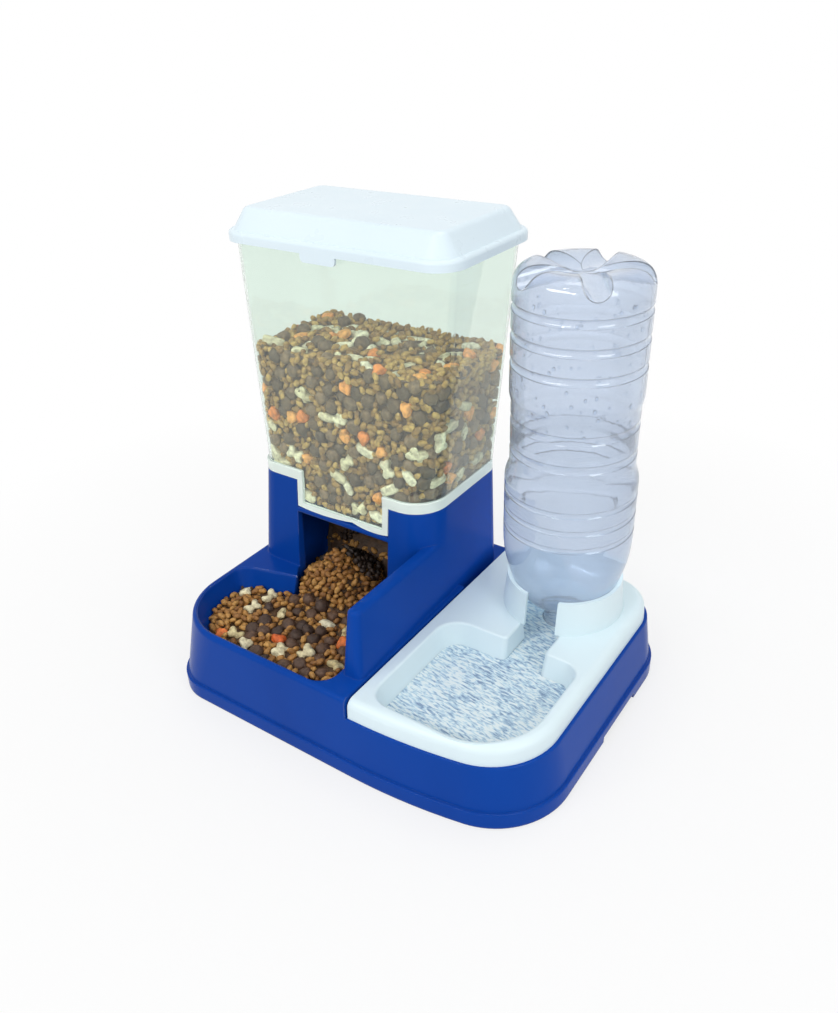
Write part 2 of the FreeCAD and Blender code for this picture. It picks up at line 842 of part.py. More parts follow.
def make_bottle():
    """Clear blown bottle standing on its shoulder with its mouth in the well."""
    ring = Part.makeCylinder(neck_ring_radius, neck_ring_height,
                             Vector(0, 0, neck_top - neck_ring_offset - neck_ring_height))
    lip = Part.makeCylinder(mouth_lip_radius, mouth_lip_height, Vector(0, 0, bottle_mouth))
    mouth = Part.makeCylinder(neck_radius - bottle_wall, 2 * overlap, Vector(0, 0, bottle_mouth - overlap))
    blown = bottle_form(0).fuse(ring).fuse(lip).cut(bottle_form(bottle_wall)).cut(mouth)
    return placed_at_bottle(blown.removeSplitter())


def make_bottle_water():
    """Water standing in the bottle."""
    below = box(-base_width, base_width, -base_depth, base_depth, bottle_mouth, bottle_water_level)
    return placed_at_bottle(bottle_form(bottle_wall + water_gap).common(below))


def make_tray_water():
    """Water in the basin, channel and well."""
    neck = Part.makeCylinder(mouth_lip_radius + water_gap, base_depth,
                             Vector(bottle_x, bottle_y, bottle_mouth - water_gap))
    below = box(-base_width, base_width, -base_depth, base_depth, 0, tray_water_level)
    return water_space(-water_gap).common(below).cut(neck)


def hopper_share(z):
    """Share of the hopper's height that lies below z."""
    return (z - tower_top) / (hopper_top - tower_top)


def hopper_corners(z):
    """Corners of the hopper's wall at height z, before rounding."""
    share = hopper_share(z)
    low = rectangle(tower_top_left, tower_top_right, tower_top_front, tower_top_back)
    low = grown_polygon(low, -bead_proud)
    top = rectangle(hopper_top_left, hopper_top_right, hopper_top_front, hopper_top_back)
    return [(a[0] + (b[0] - a[0]) * share, a[1] + (b[1] - a[1]) * share) for a, b in zip(low, top)]


def hopper_outline(z, growth):
    """Outline of the hopper's wall at height z."""
    share = hopper_share(z)
    foot = [tower_radius_front_left, tower_radius_front_right, hopper_foot_radius_back, hopper_foot_radius_back]
    radii = [radius + (hopper_radius - radius) * share for radius in foot]
    return outline(hopper_corners(z), radii, growth, z)


def plug_space(bottom, growth):
    """Inside of the skirt that plugs into the tower."""
    inset = tower_rim_wall + plug_gap + hopper_wall
    return ruled(socket_outline(bottom, growth - inset),
                 socket_outline(hopper_seat + shelf_height + overlap, growth - inset))


def hopper_space(growth):
    """Inside of the hopper above its shelf."""
    bottom = hopper_seat + shelf_height
    inset = growth - hopper_wall
    return ruled(hopper_outline(bottom, inset), hopper_outline(hopper_top + overlap, inset))


def apron_lobes(top):
    """Flat region above the wavy lower edge of the apron."""
    left, right = mouth_left + apron_gap, mouth_right - apron_gap
    cusp = left + (right - left) * apron_cusp_share
    low = lintel_top + seat_gap
    y = tower_top_front - over
    points = [Vector(left, y, low + apron_corner_rise), Vector(cusp, y, low + apron_wave),
              Vector(right, y, low + apron_corner_rise), Vector(right, y, top), Vector(left, y, top)]
    edges = [Part.Arc(points[0], Vector((left + cusp) / 2, y, low), points[1]).toShape(),
             Part.Arc(points[1], Vector((right + cusp) / 2, y, low), points[2]).toShape(),
             Part.LineSegment(points[2], points[3]).toShape(),
             Part.LineSegment(points[3], points[4]).toShape(),
             Part.LineSegment(points[4], points[0]).toShape()]
    return Part.Face(Part.Wire(edges)).extrude(Vector(0, 2 * over, 0))


def apron_window():
    """Region inside the raised border of the apron."""
    inset = apron_gap + apron_border
    return box(mouth_left + inset, mouth_right - inset, tower_top_front - over,
               tower_top_front + tower_rim_wall, lintel_top + seat_gap + apron_border,
               hopper_seat + bead_height + overlap)


def make_apron():
    """Front flap of the hopper that fills the notch of the tower, with a raised border."""
    top = hopper_seat + shelf_height / 2
    region = apron_lobes(top)
    back = tower(-tower_rim_wall, top + overlap)
    border = tower(0, top).common(region).cut(back).cut(apron_window())
    plate = tower(-bead_proud, top).common(region).cut(back)
    return border.fuse(plate)


def hinge_axis_y():
    """Distance back of the lid's hinge."""
    return hopper_top_back + lid_overhang + hinge_setback


def hinge_middles():
    """Places of the two hinges along the back edge."""
    return (hopper_top_left + hinge_side_inset, hopper_top_right - hinge_side_inset)


def x_cylinder(radius, x0, x1):
    """Cylinder on the hinge axis."""
    return Part.makeCylinder(radius, x1 - x0, Vector(x0, hinge_axis_y(), hinge_z), Vector(1, 0, 0))


def make_hinge_lugs(middle):
    """Pair of lugs on the hopper with the pin between them."""
    half = hinge_barrel_length / 2 + hinge_side_gap
    axis_y = hinge_axis_y()
    wall_y = hopper_top_back - hopper_wall / 2
    lug_top = lid_rim_bottom - hinge_lug_clearance
    profile = [(wall_y, lug_top - hinge_lug_drop), (axis_y + hinge_lug_reach, hinge_z - hinge_lug_reach),
               (axis_y, hinge_z), (axis_y - hinge_boss_radius, lug_top), (wall_y, lug_top)]
    lugs = x_cylinder(hinge_pin_radius, middle - half - overlap, middle + half + overlap)
    for x in (middle - half - hinge_lug_width, middle + half):
        points = [Vector(x, y, z) for y, z in profile + profile[:1]]
        plate = Part.Face(Part.makePolygon(points)).extrude(Vector(hinge_lug_width, 0, 0))
        lugs = lugs.fuse(plate).fuse(x_cylinder(hinge_boss_radius, x, x + hinge_lug_width))
    return lugs


def make_hopper():
    """Translucent food hopper with its foot bead, plug skirt, front apron and hinge lugs."""
    tube = ruled(hopper_outline(hopper_seat, 0), hopper_outline(hopper_top, 0))
    bead = ruled(socket_outline(hopper_seat, 0), socket_outline(hopper_seat + bead_height, 0))
    bead = rounded_at(bead, hopper_seat + bead_height, bead_round).cut(apron_window())
    plug_inset = tower_rim_wall + plug_gap
    plug = ruled(socket_outline(plug_bottom, -plug_inset), socket_outline(hopper_seat + overlap, -plug_inset))
    flange_bottom = hopper_top - hopper_flange_height
    lip = ruled(hopper_outline(flange_bottom, hopper_flange), hopper_outline(hopper_top, hopper_flange))
    behind_apron = box(mouth_left + apron_gap, mouth_right - apron_gap, tower_top_front + tower_rim_wall,
                       tower_top_front + over, lintel_top, hopper_seat + shelf_height + overlap)
    solid = tube.fuse(bead).fuse(plug).fuse(lip)
    solid = solid.cut(plug_space(plug_bottom - overlap, 0)).cut(hopper_space(0)).cut(behind_apron)
    solid = solid.fuse(make_apron())
    for middle in hinge_middles():
        solid = solid.fuse(make_hinge_lugs(middle))
    return solid.cut(hopper_space(0)).removeSplitter()


def lid_outline(growth, z):
    """Outline of the lid, grown from the hopper's top."""
    corners = rectangle(hopper_top_left, hopper_top_right, hopper_top_front, hopper_top_back)
    return outline(corners, [hopper_radius] * 4, growth, z)


def lid_form(growth):
    """Outer form of the lid, or with negative growth its inside."""
    roof = lid_roof + growth
    rim = ruled(lid_outline(lid_overhang + growth, lid_rim_bottom + min(growth, 0)),
                lid_outline(lid_overhang + growth, roof))
    rim = rounded_at(rim, roof, max(lid_rim_round + growth, least_round))
    foot = lid_overhang - dome_foot_inset + growth
    top = lid_overhang - dome_top_inset + growth
    dome = ruled(lid_outline(foot, roof - overlap), lid_outline(top, lid_top + growth))
    dome = rounded_at(dome, lid_top + growth, dome_round + growth)
    return rim.fuse(dome)


def make_lid_tab():
    """Finger tab hanging from the front of the rim."""
    front = hopper_top_front - lid_overhang
    middle = hopper_middle - tab_offset
    tab = box(middle - tab_width / 2, middle + tab_width / 2, front, front + lid_wall,
              lid_rim_bottom - tab_drop, lid_rim_bottom + overlap)
    corners = [edge for edge in tab.Edges
               if edge.BoundBox.YLength > lid_wall / 2 and edge.BoundBox.XLength < lid_wall / 2
               and edge.BoundBox.ZMax < lid_rim_bottom]
    return tab.makeFillet(tab_round, corners)


def make_lid():
    """Domed lid with its finger tab and two hinge barrels."""
    lid = lid_form(0).cut(lid_form(-lid_wall)).fuse(make_lid_tab())
    axis_y = hinge_axis_y()
    rim_back = hopper_top_back + lid_overhang
    for middle in hinge_middles():
        x0, x1 = middle - hinge_barrel_length / 2, middle + hinge_barrel_length / 2
        web = box(x0, x1, rim_back - lid_wall / 2, axis_y, lid_rim_bottom, lid_rim_bottom + hinge_web_height)
        barrel = x_cylinder(hinge_boss_radius, x0, x1)
        bore = x_cylinder(hinge_pin_radius + hinge_bore_gap, x0 - overlap, x1 + overlap)
        lid = lid.fuse(web).fuse(barrel).cut(bore)
    return lid.removeSplitter()


def places_between(start, end, shift):
    """Evenly spaced values between two, about a dent's pitch apart, shifted by a share of the pitch."""
    count = int((end - start) / dent_pitch)
    return [start + (end - start) * (i + shift) / count for i in range(count)]


def dent(point, outward, depth):
    """Cone that cuts one hollow between pieces of food, from just outside the surface."""
    return Part.makeCone(dent_radius, 0, depth + overlap, point + outward * overlap, outward * -1)


def wall_dents():
    """Hollows in the food along the hopper's walls, in staggered rows."""
    cones = []
    levels = places_between(hopper_seat + bead_height, hopper_kibble_level, 0.5)
    for row, z in enumerate(levels):
        corners = [Vector(x, y, z) for x, y in grown_polygon(hopper_corners(z), -hopper_wall - kibble_gap)]
        for i, corner in enumerate(corners):
            side = corners[(i + 1) % len(corners)] - corner
            length = side.Length
            side.normalize()
            outward = Vector(side.y, -side.x, 0)
            for along in places_between(0, length, 0.3 + 0.4 * (row % 2)):
                cones.append(dent(corner + side * along, outward, hopper_dent_depth))
    return Part.makeCompound(cones)


def top_dents():
    """Hollows in the top of the hopper's food."""
    low, _, high, _ = hopper_corners(hopper_kibble_level)
    cones = []
    for row, y in enumerate(places_between(low[1], high[1], 0.5)):
        for x in places_between(low[0], high[0], 0.3 + 0.4 * (row % 2)):
            cones.append(dent(Vector(x, y, hopper_kibble_level), Vector(0, 0, 1), hopper_dent_depth))
    return Part.makeCompound(cones)


def make_hopper_kibble():
    """Food in the hopper."""
    low = box(-base_width, base_width, -base_depth, base_depth, hopper_kibble_foot, hopper_kibble_level)
    food = hopper_space(-kibble_gap).fuse(plug_space(hopper_kibble_foot, -kibble_gap)).common(low)
    return food.cut(wall_dents()).cut(top_dents())


def pile_middle():
    """Foot of the heap's axis."""
    return Vector(mouth_middle - pile_offset, tower_top_front + pile_setback, bowl_kibble_level)


def bowl_dents():
    """Hollows in the food in the bowl and on its heap."""
    cones = []
    for row, y in enumerate(places_between(bowl_front, chute_foot_back, 0.5)):
        for x in places_between(bowl_left, bowl_right, 0.3 + 0.4 * (row % 2)):
            away = Vector(x, y, bowl_kibble_level) - pile_middle()
            rise = max(0.0, pile_height - away.Length * tan(radians(pile_slope)))
            cones.append(dent(Vector(x, y, bowl_kibble_level + rise), Vector(0, 0, 1), bowl_dent_depth))
    return Part.makeCompound(cones)


def make_bowl_kibble():
    """Food in the chute and the bowl, heaped at the tower's mouth."""
    space = bowl_pocket(-kibble_gap).fuse(mouth_space(-kibble_gap)).fuse(chute(-kibble_gap))
    level = box(-base_width, base_width, -base_depth, base_depth, 0, bowl_kibble_level)
    pile = Part.makeCone(pile_height / tan(radians(pile_slope)), 0, pile_height, pile_middle())
    foot = tower_top_front + chute_food_setback
    crest = hopper_kibble_foot - kibble_gap
    slope = [(foot, 0), (base_depth, 0), (base_depth, crest), (foot + chute_food_lean, crest),
             (foot, bowl_kibble_level)]
    points = [Vector(-base_width, y, z) for y, z in slope + slope[:1]]
    behind = Part.Face(Part.makePolygon(points)).extrude(Vector(2 * base_width, 0, 0))
    return space.common(level.fuse(pile).fuse(behind)).cut(bowl_dents())


def write(name, shape):
    """Save one piece."""
    shape.exportStep("parts/" + name + ".step")
    print(name, shape.isValid(), len(shape.Solids), len(shape.Faces), round(shape.Volume / 1000, 1), "cm3")


def main():
    """Build and save every piece."""
    os.makedirs("parts", exist_ok=True)
    write("base", make_base())
    write("water_tray", make_tray())
    write("bottle", make_bottle())
    write("bottle_water", make_bottle_water())
    write("tray_water", make_tray_water())
    write("hopper", make_hopper())
    write("lid", make_lid())
    write("hopper_kibble", make_hopper_kibble())
    write("bowl_kibble", make_bowl_kibble())
    for name, (x, y) in foot_places().items():
        write("foot_" + name, make_foot(x, y))


main()
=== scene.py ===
import math
import random

import bmesh
import bpy
import numpy as np
from mathutils import Matrix, Vector, noise
from mathutils.bvhtree import BVHTree


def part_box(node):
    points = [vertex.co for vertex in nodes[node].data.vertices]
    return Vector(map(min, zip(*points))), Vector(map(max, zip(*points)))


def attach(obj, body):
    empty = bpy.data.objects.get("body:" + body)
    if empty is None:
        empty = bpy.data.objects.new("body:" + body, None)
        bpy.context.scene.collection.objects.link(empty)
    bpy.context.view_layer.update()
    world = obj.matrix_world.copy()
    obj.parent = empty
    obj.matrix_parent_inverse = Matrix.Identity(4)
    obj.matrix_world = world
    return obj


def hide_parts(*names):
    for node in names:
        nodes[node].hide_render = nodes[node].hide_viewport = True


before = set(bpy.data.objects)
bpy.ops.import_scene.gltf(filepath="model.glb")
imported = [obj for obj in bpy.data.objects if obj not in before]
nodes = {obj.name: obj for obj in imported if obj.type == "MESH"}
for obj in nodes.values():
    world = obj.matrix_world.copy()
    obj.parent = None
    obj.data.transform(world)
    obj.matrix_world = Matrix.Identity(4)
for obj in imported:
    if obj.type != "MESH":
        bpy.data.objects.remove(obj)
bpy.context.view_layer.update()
BODY = "dispenser"
MM = 0.001

# Places on the part, as in its source
bead_top = 146.3 * MM
apron_left = -96.5 * MM
apron_right = -23.5 * MM
apron_low = 120.5 * MM
hopper_front = 2.0 * MM
mouth_left = -100.0 * MM
mouth_right = -20.0 * MM
mouth_low = 62.0 * MM
mouth_front = 0.0
food_level = 238.0 * MM
bottle_axis = (88.9 * MM, 56.5 * MM)
bottle_water_level = 197.0 * MM
bottle_heel = 292.0 * MM

# Where food lies in front: as far back as inside the tower, and large pieces only in the bowl's front
tower_inside = 34.0 * MM
disc_area_left = -92.0 * MM
large_food_back = -34.0 * MM

# Camera, solved from the photograph's vanishing points
camera_place = (0.3029, -0.4250, 0.4500)
camera_turn = 35.19
camera_tilt = 30.52
camera_roll = -2.007
camera_lens = 31.26
sensor_width = 36.0

WHITE = (1.0, 1.0, 1.0, 1.0)
EDGE_SAMPLES = 6

# Range that holds most values of a noise texture
NOISE_LOW = 0.3
NOISE_HIGH = 0.7


def srgb(red, green, blue):
    """Linear colour from the 0 to 255 values of a screen colour."""
    channels = []
    for value in (red, green, blue):
        share = value / 255
        channels.append(share / 12.92 if share <= 0.04045 else ((share + 0.055) / 1.055) ** 2.4)
    return (*channels, 1.0)


# Shader building

def new_material(name):
    """Material with its node tree and its main shader."""
    material = bpy.data.materials.new(name)
    material.use_nodes = True
    tree = material.node_tree
    return material, tree, tree.nodes["Principled BSDF"]


def add(tree, kind, settings=None, **inputs):
    """Node with its settings and input values."""
    node = tree.nodes.new(kind)
    for key, value in (settings or {}).items():
        setattr(node, key, value)
    for key, value in inputs.items():
        node.inputs[key].default_value = value
    return node


def object_noise(tree, scale, detail=3.0, stretch=(1.0, 1.0, 1.0)):
    """Noise fixed to the object, as a 0 to 1 value."""
    place = add(tree, "ShaderNodeTexCoord")
    mapping = add(tree, "ShaderNodeMapping", Scale=stretch)
    texture = add(tree, "ShaderNodeTexNoise", Scale=scale, Detail=detail)
    tree.links.new(place.outputs["Object"], mapping.inputs["Vector"])
    tree.links.new(mapping.outputs["Vector"], texture.inputs["Vector"])
    return texture.outputs["Fac"]


def ramp(tree, value, stops):
    """Colour ramp over a value, from pairs of place and colour."""
    node = add(tree, "ShaderNodeValToRGB")
    elements = node.color_ramp.elements
    while len(elements) < len(stops):
        elements.new(0.5)
    for element, (place, colour) in zip(elements, stops):
        element.position = place
        element.color = colour
    tree.links.new(value, node.inputs["Fac"])
    return node.outputs["Color"]


def bump(tree, shader, height, strength, distance, edge_radius=0.0):
    """Bump the shader's surface by a height, over edges softened by a radius."""
    node = add(tree, "ShaderNodeBump", Strength=strength, Distance=distance)
    if edge_radius > 0:
        soft = add(tree, "ShaderNodeBevel", {"samples": EDGE_SAMPLES}, Radius=edge_radius)
        tree.links.new(soft.outputs["Normal"], node.inputs["Normal"])
    tree.links.new(height, node.inputs["Height"])
    tree.links.new(node.outputs["Normal"], shader.inputs["Normal"])


def vary(tree, value, low, high):
    """Value spread from the usual range of noise to another range."""
    node = add(tree, "ShaderNodeMapRange")
    node.inputs["From Min"].default_value = NOISE_LOW
    node.inputs["From Max"].default_value = NOISE_HIGH
    node.inputs["To Min"].default_value = low
    node.inputs["To Max"].default_value = high
    tree.links.new(value, node.inputs["Value"])
    return node.outputs["Result"]


def calculate(tree, operation, first, second):
    """Result of a sum on two values, each a socket or a number."""
    node = add(tree, "ShaderNodeMath", {"operation": operation})
    for socket, value in zip(node.inputs, (first, second)):
        if isinstance(value, (int, float)):
            socket.default_value = value
        else:
            tree.links.new(value, socket)
    return node.outputs[0]


def beyond(tree, value, edge):
    """Zero below an edge and one above it, with a short blend."""
    blend = 0.3 * MM
    node = add(tree, "ShaderNodeMapRange")
    node.inputs["From Min"].default_value = edge - blend
    node.inputs["From Max"].default_value = edge + blend
    tree.links.new(value, node.inputs["Value"])
    return node.outputs["Result"]


def polished_edges(tree, shader, radius, polish):
    """Coat along the edges, where the softened normal leaves the plain one."""
    soft = add(tree, "ShaderNodeBevel", {"samples": EDGE_SAMPLES}, Radius=radius)
    plain = add(tree, "ShaderNodeNewGeometry")
    match = add(tree, "ShaderNodeVectorMath", {"operation": "DOT_PRODUCT"})
    tree.links.new(soft.outputs["Normal"], match.inputs[0])
    tree.links.new(plain.outputs["Normal"], match.inputs[1])
    flat, rounded = 0.98, 0.8
    amount = add(tree, "ShaderNodeMapRange")
    amount.inputs["From Min"].default_value = flat
    amount.inputs["From Max"].default_value = rounded
    amount.inputs["To Max"].default_value = polish
    tree.links.new(match.outputs["Value"], amount.inputs["Value"])
    tree.links.new(amount.outputs["Result"], shader.inputs["Coat Weight"])


def let_light_through(tree, shader, tint):
    """Let lamps shine through a clear wall without a dark shadow."""
    path = add(tree, "ShaderNodeLightPath")
    clear = add(tree, "ShaderNodeBsdfTransparent", Color=tint)
    mix = add(tree, "ShaderNodeMixShader")
    output = tree.nodes["Material Output"]
    tree.links.new(path.outputs["Is Shadow Ray"], mix.inputs["Fac"])
    tree.links.new(shader.outputs["BSDF"], mix.inputs[1])
    tree.links.new(clear.outputs["BSDF"], mix.inputs[2])
    tree.links.new(mix.outputs["Shader"], output.inputs["Surface"])


# Materials

def moulded_plastic(name, light, dark, roughness, gloss, coat, edge_radius):
    """Opaque moulded plastic with a faint flow pattern and a fine skin, and any edges softened and polished."""
    flow_scale, wear_scale, grain_scale, grain_depth, edge_polish = 9.0, 60.0, 260.0, 0.3 * MM, 1.0
    material, tree, shader = new_material(name)
    flow = object_noise(tree, flow_scale, 4.0, (1.0, 1.0, 0.5))
    colour = ramp(tree, flow, ((NOISE_LOW, dark), (NOISE_HIGH, light)))
    tree.links.new(colour, shader.inputs["Base Color"])
    wear = vary(tree, object_noise(tree, wear_scale), roughness * 0.85, roughness * 1.2)
    tree.links.new(wear, shader.inputs["Roughness"])
    bump(tree, shader, object_noise(tree, grain_scale, 2.0), 0.06, grain_depth, edge_radius)
    shader.inputs["Specular IOR Level"].default_value = gloss
    shader.inputs["Coat Weight"].default_value = coat
    shader.inputs["Coat Roughness"].default_value = 0.12
    if edge_radius > 0:
        polished_edges(tree, shader, edge_radius, edge_polish)
    return material


def thin_white_plastic(name, light, dark, roughness, gloss, coat, passed):
    """Moulded plastic thin enough to pass some light."""
    material = moulded_plastic(name, light, dark, roughness, gloss, coat, 0.0)
    tree = material.node_tree
    let_light_through(tree, tree.nodes["Principled BSDF"], (passed, passed, passed, 1.0))
    return material


def hopper_plastic(name, colour, clear, roughness):
    """Slightly milky clear plastic, denser in the bead and the border at the hopper's foot."""
    cloud_scale, draw_scale, draw_depth, border_clear = 14.0, 34.0, 0.6 * MM, 0.25
    material, tree, shader = new_material(name)
    cloud = object_noise(tree, cloud_scale, 4.0, (1.0, 1.0, 0.4))
    pale = tuple(min(1.0, channel * 1.03) for channel in colour[:3]) + (1.0,)
    tree.links.new(ramp(tree, cloud, ((NOISE_LOW, colour), (NOISE_HIGH, pale))), shader.inputs["Base Color"])
    place = add(tree, "ShaderNodeTexCoord")
    split = add(tree, "ShaderNodeSeparateXYZ")
    tree.links.new(place.outputs["Object"], split.inputs["Vector"])
    x, y, z = split.outputs
    left_of_border = calculate(tree, "SUBTRACT", 1.0, beyond(tree, x, apron_right))
    before_front = calculate(tree, "SUBTRACT", 1.0, beyond(tree, y, hopper_front))
    window = calculate(tree, "MULTIPLY", beyond(tree, x, apron_left), left_of_border)
    window = calculate(tree, "MULTIPLY", window, beyond(tree, z, apron_low))
    window = calculate(tree, "MULTIPLY", window, before_front)
    thin = calculate(tree, "MAXIMUM", window, beyond(tree, z, bead_top))
    spread = add(tree, "ShaderNodeMapRange")
    spread.inputs["To Min"].default_value = border_clear
    spread.inputs["To Max"].default_value = clear
    tree.links.new(thin, spread.inputs["Value"])
    tree.links.new(spread.outputs["Result"], shader.inputs["Transmission Weight"])
    shader.inputs["Roughness"].default_value = roughness
    shader.inputs["IOR"].default_value = 1.45
    bump(tree, shader, object_noise(tree, draw_scale, 3.0, (1.0, 1.0, 0.15)), 0.12, draw_depth)
    let_light_through(tree, shader, (0.97, 0.98, 0.97, 1.0))
    return material


def clear_plastic(name, colour, haze):
    """Clear blown plastic with a slight tint, a haze and soft ripples."""
    tone_scale, ripple_scale, ripple_depth = 30.0, 60.0, 1.4 * MM
    material, tree, shader = new_material(name)
    tone = object_noise(tree, tone_scale, 3.0)
    deep = tuple(channel * 0.97 for channel in colour[:3]) + (1.0,)
    tree.links.new(ramp(tree, tone, ((NOISE_LOW, deep), (NOISE_HIGH, colour))), shader.inputs["Base Color"])
    shader.inputs["Transmission Weight"].default_value = 1.0 - haze
    shader.inputs["Roughness"].default_value = 0.04
    shader.inputs["IOR"].default_value = 1.5
    bump(tree, shader, object_noise(tree, ripple_scale, 4.0, (1.0, 1.0, 0.5)), 0.4, ripple_depth)
    let_light_through(tree, shader, (0.97, 0.98, 0.99, 1.0))
    return material


def still_water(name, colour, bending):
    """Clear water with a barely moving surface."""
    tone_scale, swell_scale, swell_depth = 20.0, 45.0, 1.0 * MM
    material, tree, shader = new_material(name)
    tone = object_noise(tree, tone_scale, 3.0)
    deep = tuple(channel * 0.95 for channel in colour[:3]) + (1.0,)
    tree.links.new(ramp(tree, tone, ((NOISE_LOW, deep), (NOISE_HIGH, colour))), shader.inputs["Base Color"])
    shader.inputs["Transmission Weight"].default_value = 1.0
    shader.inputs["Roughness"].default_value = 0.02
    shader.inputs["IOR"].default_value = bending
    bump(tree, shader, object_noise(tree, swell_scale, 2.0), 0.2, swell_depth)
    let_light_through(tree, shader, (0.98, 0.99, 1.0, 1.0))
    return material


def rippled_water(name):
    """Shallow water broken up by fine ripples that run one way, with painted highlights: the ripples' bright
    streaks are painted into its colour.
    """
    streak_turn, streak_length, streak_scale, patch_scale = math.radians(-8), 3.4, 620.0, 60.0
    material, tree, shader = new_material(name)
    place = add(tree, "ShaderNodeTexCoord")
    turn = add(tree, "ShaderNodeMapping", {"vector_type": "TEXTURE"}, Rotation=(0.0, 0.0, streak_turn),
               Scale=(streak_length, 1.0, 1.0))
    ripples_and_glints = add(tree, "ShaderNodeTexNoise", Scale=streak_scale, Detail=3.0, Distortion=0.6)
    tree.links.new(place.outputs["Object"], turn.inputs["Vector"])
    tree.links.new(turn.outputs["Vector"], ripples_and_glints.inputs["Vector"])
    patches = object_noise(tree, patch_scale, 3.0)
    height = calculate(tree, "ADD", ripples_and_glints.outputs["Fac"], calculate(tree, "MULTIPLY", patches, 0.35))
    # Painted highlights: the colour runs from blue-grey in the ripples' hollows to near white on their crests.
    colour = ramp(tree, height, ((0.46, srgb(140, 164, 194)), (0.58, srgb(178, 204, 226)),
                                 (0.66, srgb(208, 234, 246)), (0.75, srgb(244, 254, 255))))
    tree.links.new(colour, shader.inputs["Base Color"])
    shader.inputs["Transmission Weight"].default_value = 0.15
    shader.inputs["Roughness"].default_value = 0.15
    shader.inputs["IOR"].default_value = 1.33
    bump(tree, shader, height, 0.4, 1.0 * MM)
    return material


def food(name, light, mid, dark, grain, depth):
    """Baked food: every piece has its own tone, with pores and browned spots."""
    spot, pore_ratio = (0.45, 0.42, 0.4, 1.0), 1.6
    material, tree, shader = new_material(name)
    own = add(tree, "ShaderNodeNewGeometry").outputs["Random Per Island"]
    body = ramp(tree, own, ((0.0, dark), (0.45, mid), (1.0, light)))
    spots = ramp(tree, object_noise(tree, grain, 4.0), ((0.35, spot), (0.6, (1, 1, 1, 1))))
    mix = add(tree, "ShaderNodeMix", {"data_type": "RGBA", "blend_type": "MULTIPLY"})
    mix.inputs["Factor"].default_value = 0.8
    tree.links.new(body, mix.inputs["A"])
    tree.links.new(spots, mix.inputs["B"])
    tree.links.new(mix.outputs["Result"], shader.inputs["Base Color"])
    shader.inputs["Roughness"].default_value = 0.62
    bump(tree, shader, object_noise(tree, grain * pore_ratio, 4.0), 0.7, depth)
    return material


def rubber(name):
    """Dark rubber with a dusty skin."""
    dust_scale = 180.0
    material, tree, shader = new_material(name)
    dust = object_noise(tree, dust_scale, 4.0)
    tree.links.new(ramp(tree, dust, ((0.35, srgb(28, 28, 30)), (0.7, srgb(52, 52, 54)))),
                   shader.inputs["Base Color"])
    shader.inputs["Roughness"].default_value = 0.75
    bump(tree, shader, dust, 0.2, 0.3 * MM)
    return material


# Meshes

def make_object(name, vertices, faces, material, body=BODY):
    """Smooth mesh piece that rides on a body."""
    mesh = bpy.data.meshes.new(name)
    mesh.from_pydata(vertices, [], faces)
    mesh.update()
    mesh.polygons.foreach_set("use_smooth", [True] * len(mesh.polygons))
    mesh.materials.append(material)
    piece = bpy.data.objects.new(name, mesh)
    bpy.context.scene.collection.objects.link(piece)
    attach(piece, body)
    return piece


def node_mesh(node):
    """Copy of a node's mesh with its seams closed."""
    mesh = bmesh.new()
    mesh.from_mesh(nodes[node].data)
    bmesh.ops.remove_doubles(mesh, verts=mesh.verts, dist=1e-6)
    mesh.normal_update()
    return mesh


def grown_copy(name, node, growth, material, walls=None, walls_from=0.0):
    """Replace a node by a copy with its skin moved out by growth, kept inside any walls above a height."""
    mesh = node_mesh(node)
    shifts = [vertex.normal.copy() * growth for vertex in mesh.verts]
    for vertex, shift in zip(mesh.verts, shifts):
        vertex.co += shift
    vertices = [vertex.co.copy() for vertex in mesh.verts]
    if walls:
        vertices = [kept_inside([place], walls)[0] if place.z > walls_from else place for place in vertices]
    faces = [[vertex.index for vertex in face.verts] for face in mesh.faces]
    mesh.free()
    piece = make_object(name, vertices, faces, material, BODY)
    piece.data.set_sharp_from_angle(angle=math.radians(35))
    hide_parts(node)


def unit_ball(subdivisions):
    """Corners and faces of a ball of radius one."""
    mesh = bmesh.new()
    bmesh.ops.create_icosphere(mesh, subdivisions=subdivisions, radius=1.0)
    corners = np.array([vertex.co[:] for vertex in mesh.verts])
    faces = np.array([[vertex.index for vertex in face.verts] for face in mesh.faces])
    mesh.free()
    return corners, faces


def bone_reach(angle):
    """Distance from a bone's middle to its outline, for a bone of half length one."""
    along, aside = math.cos(angle), math.sin(angle)
    knob, knob_x, knob_y, shaft = 0.37, 0.6, 0.36, 0.34
    reach = min(shaft / max(abs(aside), 1e-6), knob_x / max(abs(along), 1e-6))
    for x in (-knob_x, knob_x):
        for y in (-knob_y, knob_y):
            miss = abs(x * aside - y * along)
            ahead = x * along + y * aside
            if miss < knob and ahead > 0:
                reach = max(reach, ahead + math.sqrt(knob * knob - miss * miss))
    return reach


def stick_reach(angle):
    """Distance from a stick's middle to its outline, for a rounded oblong."""
    return (abs(math.cos(angle)) ** 5 + abs(math.sin(angle)) ** 5) ** -0.2


def chunk_reach(angle):
    """Distance from a chunk's middle to its outline, for a three-cornered chunk."""
    return 0.86 + 0.14 * math.cos(3 * angle) + 0.05 * math.cos(5 * angle + 1.0)


def round_reach(angle):
    """Distance from a round piece's middle to its outline."""
    return 1.0


